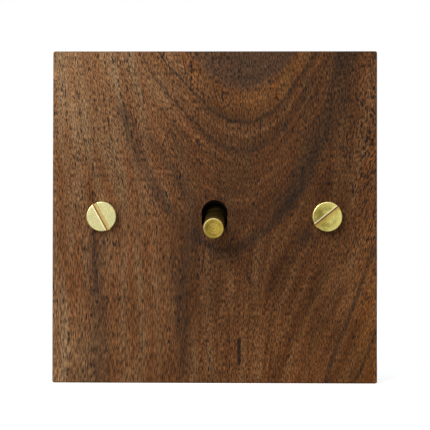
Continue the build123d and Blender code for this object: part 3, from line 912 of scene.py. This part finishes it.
def ivory_moulding():
    """Ivory-coloured moulding of the plunger, with a faint grain."""
    finish, place = new_material("ivory_moulding")
    cloud = noise(place, 0.5, 3.0)
    grain = noise(place, 5.0, 3.0)
    colour = mix((cloud * 1.5 + 0.5).between(0.0, 1.0), DEEP_IVORY, PALE_IVORY)
    finish_with(colour, grain, 0.2, 0.02, roughness=grain * 0.15 + 0.42)
    return finish


def silver_tip():
    """Silver contact, with a yellowish bloom at its middle."""
    finish, place = new_material("silver_tip")
    bloom = noise(place, 0.9, 3.0)
    grain = noise(place, 9.0, 2.0)
    colour = mix((bloom * 1.8 + 0.4).between(0.0, 1.0), CLEAN_SILVER, SILVER_BLOOM)
    finish_with(colour, grain, 0.2, 0.02, roughness=bloom * 0.3 + 0.36, metallic=1.0)
    return finish


finishes = {
    "zinc_steel": plated_steel(),
    "hardened_steel": bare_steel("ground_steel", GROUND_STEEL, GROUND_STAIN, 0.26),
    "spring_steel": bare_steel("spring_wire", DRAWN_WIRE, WIRE_STAIN, 0.34),
    "black_moulding": moulding(),
    "fibre": fibre_board(),
    "mechanism_brass": pressed_brass(),
    "blackened_brass": blackened_brass(),
    "ivory_moulding": ivory_moulding(),
    "silver": silver_tip(),
}
for part in frame["record"]["subparts"]:
    if part["material_slot"] in finishes:
        for slot in frame["nodes"][part["node"]].material_slots:
            slot.material = finishes[part["material_slot"]]


# The plunger's spring: a coil of round steel wire between the floor of the lever's bore and the plunger.
SPRING_RADIUS = 1.35
WIRE_RADIUS = 0.15
COILS = 2.5
SPRING_START = 2.0
SPRING_END = 5.0

bpy.ops.object.select_all(action="DESELECT")
bpy.ops.mesh.primitive_circle_add(
    vertices=16,
    radius=WIRE_RADIUS * MM,
    location=(SPRING_RADIUS * MM, SPRING_START * MM, 0),
)
spring = bpy.context.object
spring.name = "plunger_spring_coil"
settle(spring)
wind = spring.modifiers.new("wind", "SCREW")
wind.axis = "Y"
wind.angle = math.pi
wind.iterations = round(COILS * 2)
wind.screw_offset = (SPRING_END - SPRING_START) / wind.iterations * MM
wind.steps = wind.render_steps = 24
bpy.ops.object.modifier_apply(modifier=wind.name)
bpy.context.tool_settings.mesh_select_mode = (True, False, False)
bpy.ops.object.mode_set(mode="EDIT")
bpy.ops.mesh.select_all(action="SELECT")
bpy.ops.mesh.fill_holes(sides=0)
bpy.ops.mesh.select_all(action="SELECT")
bpy.ops.mesh.normals_make_consistent(inside=False)
bpy.ops.object.mode_set(mode="OBJECT")
spring.location = [c * MM for c in LEVER_PIVOT]
spring.rotation_euler.x = math.radians(LEVER_TILT)
settle(spring)
smooth(spring, 60)
dress(spring, finishes["spring_steel"])

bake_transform(spring)
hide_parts("plunger_spring")


# The strap: a flat of zinc-plated steel with its edges deburred, glued into the recess behind the plate.
# Its slots let the switch be squared up on the wall box.
STRAP_WIDTH = 72.0
STRAP_THICKNESS = 1.5
STRAP_HEIGHT = 44.0
STRAP_CORNER = 3.0
STRAP_ARRIS = 0.12
STRAP_SLOT = 1.9
STRAP_SLOT_TRAVEL = 1.1
BUSHING_HOLE = 6.1

strap_front = -RECESS_DEPTH
strap_back = strap_front + STRAP_THICKNESS
strap = block(
    "strap",
    (STRAP_WIDTH, STRAP_THICKNESS, STRAP_HEIGHT),
    (0, (strap_front + strap_back) / 2, 0),
)
ease(strap, front_to_back, STRAP_CORNER, 8)
ease(strap, lambda corners: not front_to_back(corners), STRAP_ARRIS, 2)
cut_out(strap, bar("bushing_hole", BUSHING_HOLE, strap_front - 1, 1))
for x in (-SCREW_X, SCREW_X):
    cut_out(strap, block("strap_slot", (2 * STRAP_SLOT_TRAVEL, 4, 2 * STRAP_SLOT), (x, 0, 0)))
    for end in (-STRAP_SLOT_TRAVEL, STRAP_SLOT_TRAVEL):
        cut_out(strap, bar("slot_end", STRAP_SLOT, strap_front - 1, 1, x=x + end))
smooth(strap)
dress(strap, finishes["zinc_steel"])
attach(strap, "switch_body")
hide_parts("mounting_strap")


# The case and the terminal base: two black mouldings that meet at a line, with their corners rounded.
# The base has a wire hole behind and a window at the right for each of the three terminals.
CASE_WIDTH = 18.0
CASE_HEIGHT = 38.0
CASE_FRONT = 2.5
CASE_BACK = 15.0
CASE_WALL = 1.6
CASE_MOUTH = 6.5
BASE_BACK = 26.5
MOULDED_CORNER = 1.0
MOULDED_ARRIS = 0.18
END_CHAMFER = 0.5
WEDGE = 4.0
TERMINALS = (-14.0, 0.0, 14.0)
CLAMP_DEPTH = 20.5
TERMINAL_POCKET = 7.2
TERMINAL_POCKET_BACK = 25.1
WIRE_HOLE = 1.9
WINDOW = 4.6


def moulded(name, front, back):
    """A moulded block between two depths, rounded at its corners and eased front and back."""
    piece = block(name, (CASE_WIDTH, back - front, CASE_HEIGHT), (0, (front + back) / 2, 0))
    ease(piece, front_to_back, MOULDED_CORNER, 5)
    ease(piece, at_depth(front), MOULDED_ARRIS, 2)
    ease(piece, at_depth(back), MOULDED_ARRIS, 2)
    return piece


case = moulded("case", CASE_FRONT, CASE_BACK)
cavity_front = CASE_FRONT + CASE_WALL
cavity_back = CASE_BACK + 1
cavity = block(
    "cavity",
    (CASE_WIDTH - 2 * CASE_WALL, cavity_back - cavity_front, CASE_HEIGHT - 2 * CASE_WALL),
    (0, (cavity_front + cavity_back) / 2, 0),
)
cut_out(case, cavity)
cut_out(case, bar("mouth", CASE_MOUTH, CASE_FRONT - 1, cavity_front + 1))

base = moulded("terminal_base", CASE_BACK, BASE_BACK)
wedge_clear = (WEDGE / math.sqrt(2) - END_CHAMFER) / 2
for side in (-1, 1):
    wedge = block("wedge", (CASE_WIDTH + 2, WEDGE, WEDGE), (0, 0, 0))
    wedge.rotation_euler.x = math.pi / 4
    wedge_place = (0, BASE_BACK + wedge_clear, side * (CASE_HEIGHT / 2 + wedge_clear))
    wedge.location = [c * MM for c in wedge_place]
    settle(wedge)
    cut_out(base, wedge)
for z in TERMINALS:
    terminal_pocket = block(
        "terminal_pocket",
        (TERMINAL_POCKET, TERMINAL_POCKET_BACK - CASE_BACK + 1, TERMINAL_POCKET),
        (0, (CASE_BACK - 1 + TERMINAL_POCKET_BACK) / 2, z),
    )
    cut_out(base, terminal_pocket)
    cut_out(base, bar("wire_hole", WIRE_HOLE, TERMINAL_POCKET_BACK - 1, BASE_BACK + 1, z=z))
    window = block(
        "window",
        (CASE_WIDTH / 2 + 1, WINDOW, WINDOW),
        (CASE_WIDTH / 4 + 0.5, CLAMP_DEPTH, z),
    )
    cut_out(base, window)

for piece, node in ((case, "case_body"), (base, "terminal_base")):
    smooth(piece)
    dress(piece, finishes["black_moulding"])
    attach(piece, "switch_body")
    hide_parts(node)


# The earth terminal: a square brass pillar with eased edges, riveted to the strap.
# It is bored from behind for the wire and tapped from the side for its clamp screw.
EARTH_X = -20.0
EARTH_Z = -14.0
EARTH_WIDTH = 7.0
EARTH_BACK = 10.5
EARTH_EDGE = 0.3
EARTH_ARRIS = 0.15
WIRE_BORE = 1.6
WIRE_BORE_START = 1.5
EARTH_CLAMP_DEPTH = 6.0
TAPPING = 1.52
RIVET = 1.5

earth = block(
    "earth_terminal",
    (EARTH_WIDTH, EARTH_BACK - strap_back, EARTH_WIDTH),
    (EARTH_X, (strap_back + EARTH_BACK) / 2, EARTH_Z),
)
ease(earth, front_to_back, EARTH_EDGE, 2)
ease(earth, at_depth(EARTH_BACK), EARTH_ARRIS, 2)
cut_out(earth, bar("wire_bore", WIRE_BORE, WIRE_BORE_START, EARTH_BACK + 1, x=EARTH_X, z=EARTH_Z))
tapping = bar("tapping", TAPPING, 0, EARTH_WIDTH, sides=48)
tapping.rotation_euler.z = math.pi / 2
tapping.location = [c * MM for c in (EARTH_X, EARTH_CLAMP_DEPTH, EARTH_Z)]
settle(tapping)
cut_out(earth, tapping)
rivet = bar("rivet", RIVET, strap_front, strap_back, x=EARTH_X, z=EARTH_Z, sides=48)
earth = joined("earth_terminal", earth, rivet)
smooth(earth)
dress(earth, finishes["mechanism_brass"])
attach(earth, "switch_body")
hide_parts("earth_terminal")


# The clamp screws: headless, slotted, with an M3 thread, of zinc-plated steel.
# Each is backed off until its wire hole is clear.
CLAMP_THREAD = 1.5
CLAMP_ROOT = 1.2
CLAMP_PITCH = 0.5
CLAMP_LENGTH = 5.0
CLAMP_START = 1.65
CLAMP_SLOT_WIDTH = 0.5
CLAMP_SLOT_DEPTH = 0.9
CLAMP_TURNS = (25, -40, 70)
EARTH_CLAMP_TURN = 15


def clamp_screw(name, start, depth, height, side, turn):
    """A clamp screw along X, from its point outward to its slotted end."""
    screw = thread(name, CLAMP_THREAD, CLAMP_ROOT, CLAMP_PITCH, 0, CLAMP_LENGTH)
    slot_size = (3 * CLAMP_THREAD, 2 * CLAMP_SLOT_DEPTH, CLAMP_SLOT_WIDTH)
    cut_out(screw, block("clamp_slot", slot_size, (0, CLAMP_LENGTH, 0)))
    screw.rotation_euler.y = math.radians(turn)
    settle(screw)
    screw.rotation_euler.z = -side * math.pi / 2
    screw.location = [c * MM for c in (start, depth, height)]
    settle(screw)
    return screw


clamps = joined("clamp_screws", *[
    clamp_screw("clamp", CLAMP_START, CLAMP_DEPTH, z, 1, turn)
    for z, turn in zip(TERMINALS, CLAMP_TURNS)
])
earth_clamp = clamp_screw(
    "earth_clamp",
    EARTH_X - CLAMP_START,
    EARTH_CLAMP_DEPTH,
    EARTH_Z,
    side=-1,
    turn=EARTH_CLAMP_TURN,
)
for piece, node in ((clamps, "terminal_screws"), (earth_clamp, "earth_screw")):
    smooth(piece, 30)
    dress(piece, finishes["zinc_steel"])
    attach(piece, "switch_body")
    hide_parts(node)


# The floor: a plain pale sheet that the plate stands on, level with its lower edge.
# It shows white to the camera and keeps the soft shadow of the plate.
FLOOR_SIZE = 3000
FLOOR_THICKNESS = 10
FLOOR_COLOUR = (0.8, 0.8, 0.8, 1)
FLOOR_GLOW = 0.62

floor = block("floor", (FLOOR_SIZE, FLOOR_THICKNESS, FLOOR_SIZE), (0, 0, 0))
floor.rotation_euler.x = math.pi / 2
floor.location.z = -(PLATE_HEIGHT + FLOOR_THICKNESS) / 2 * MM
settle(floor)
pale, place = new_material("pale_floor")
seen = place.node("LightPath", out="Is Camera Ray")
matt = place.node("BsdfDiffuse", {"Color": FLOOR_COLOUR})
lit = place.node("Emission", {"Color": (1, 1, 1, 1), "Strength": seen * FLOOR_GLOW})
both = place.node("AddShader", {0: matt, 1: lit})
both.node("OutputMaterial", {"Surface": both})
dress(floor, pale)


# The room: white to the eye, and an even soft light on the wood.
# What mirrors it sees it brighter above and to the left, so that the brass has light and dark in it.
ROOM_LIGHT = (0.52, 0.53, 0.55)
ROOM_WHITE = (1.0, 1.0, 1.0)

room = bpy.data.worlds.new("room")
bpy.context.scene.world = room
room.use_nodes = True
room.node_tree.nodes.clear()
way = Shade(room.node_tree, None).node("TexCoord", out=0)
x, y, z = axes(way)
glow = (z * 0.75 - x * 0.55 + noise(way, 1.6, 1.0) * 0.5).between(-0.75, 0.75) * 0.95 + 0.25
glow = glow + (z * 0.7 - x * 0.7).between(0.35, 0.75) * 0.7
mirrored = way.node("LightPath", out="Is Glossy Ray")
seen = way.node("LightPath", out="Is Camera Ray") + way.node("LightPath", out="Is Transmission Ray")
light = mix(mirrored, ROOM_LIGHT, vector(glow, glow, glow * 0.98))
light = mix(seen.between(0.0, 1.0), light, ROOM_WHITE)
sky = light.node("Background", {"Color": light, "Strength": 1.0})
sky.node("OutputWorld", {"Surface": sky})


# The lamp: a soft square one, above and to the left of the camera, aimed at the middle of the plate.
# Its light is a little warm, and wide enough for soft shadows.
LAMP = (-0.24, -0.52, 0.30)
LAMP_SIZE = 0.32
LAMP_POWER = 3.3
LAMP_COLOUR = (1.0, 0.985, 0.96)

bpy.ops.object.select_all(action="DESELECT")
bpy.ops.object.light_add(type="AREA", location=LAMP)
lamp = bpy.context.object
lamp.name = "soft_lamp"
lamp.data.size = LAMP_SIZE
lamp.data.energy = LAMP_POWER
lamp.data.color = LAMP_COLOUR
lamp.rotation_euler = (-mathutils.Vector(LAMP)).to_track_quat("-Z", "Y").to_euler()


# The camera: nearly straight ahead of the plate, with a long lens.
# Its place and turn are fitted to the outline of the plate in the photograph.
CAMERA = (0.01123, -0.5, -0.00917)
CAMERA_TURN = (91.126, -0.104, 1.291)
LENS = 153.78
SENSOR = 36.0

bpy.ops.object.camera_add(location=CAMERA, rotation=[math.radians(degrees) for degrees in CAMERA_TURN])
camera = bpy.context.object
camera.data.lens = LENS
camera.data.sensor_width = SENSOR
bpy.context.scene.camera = camera
bpy.context.scene.view_settings.view_transform = "Standard"
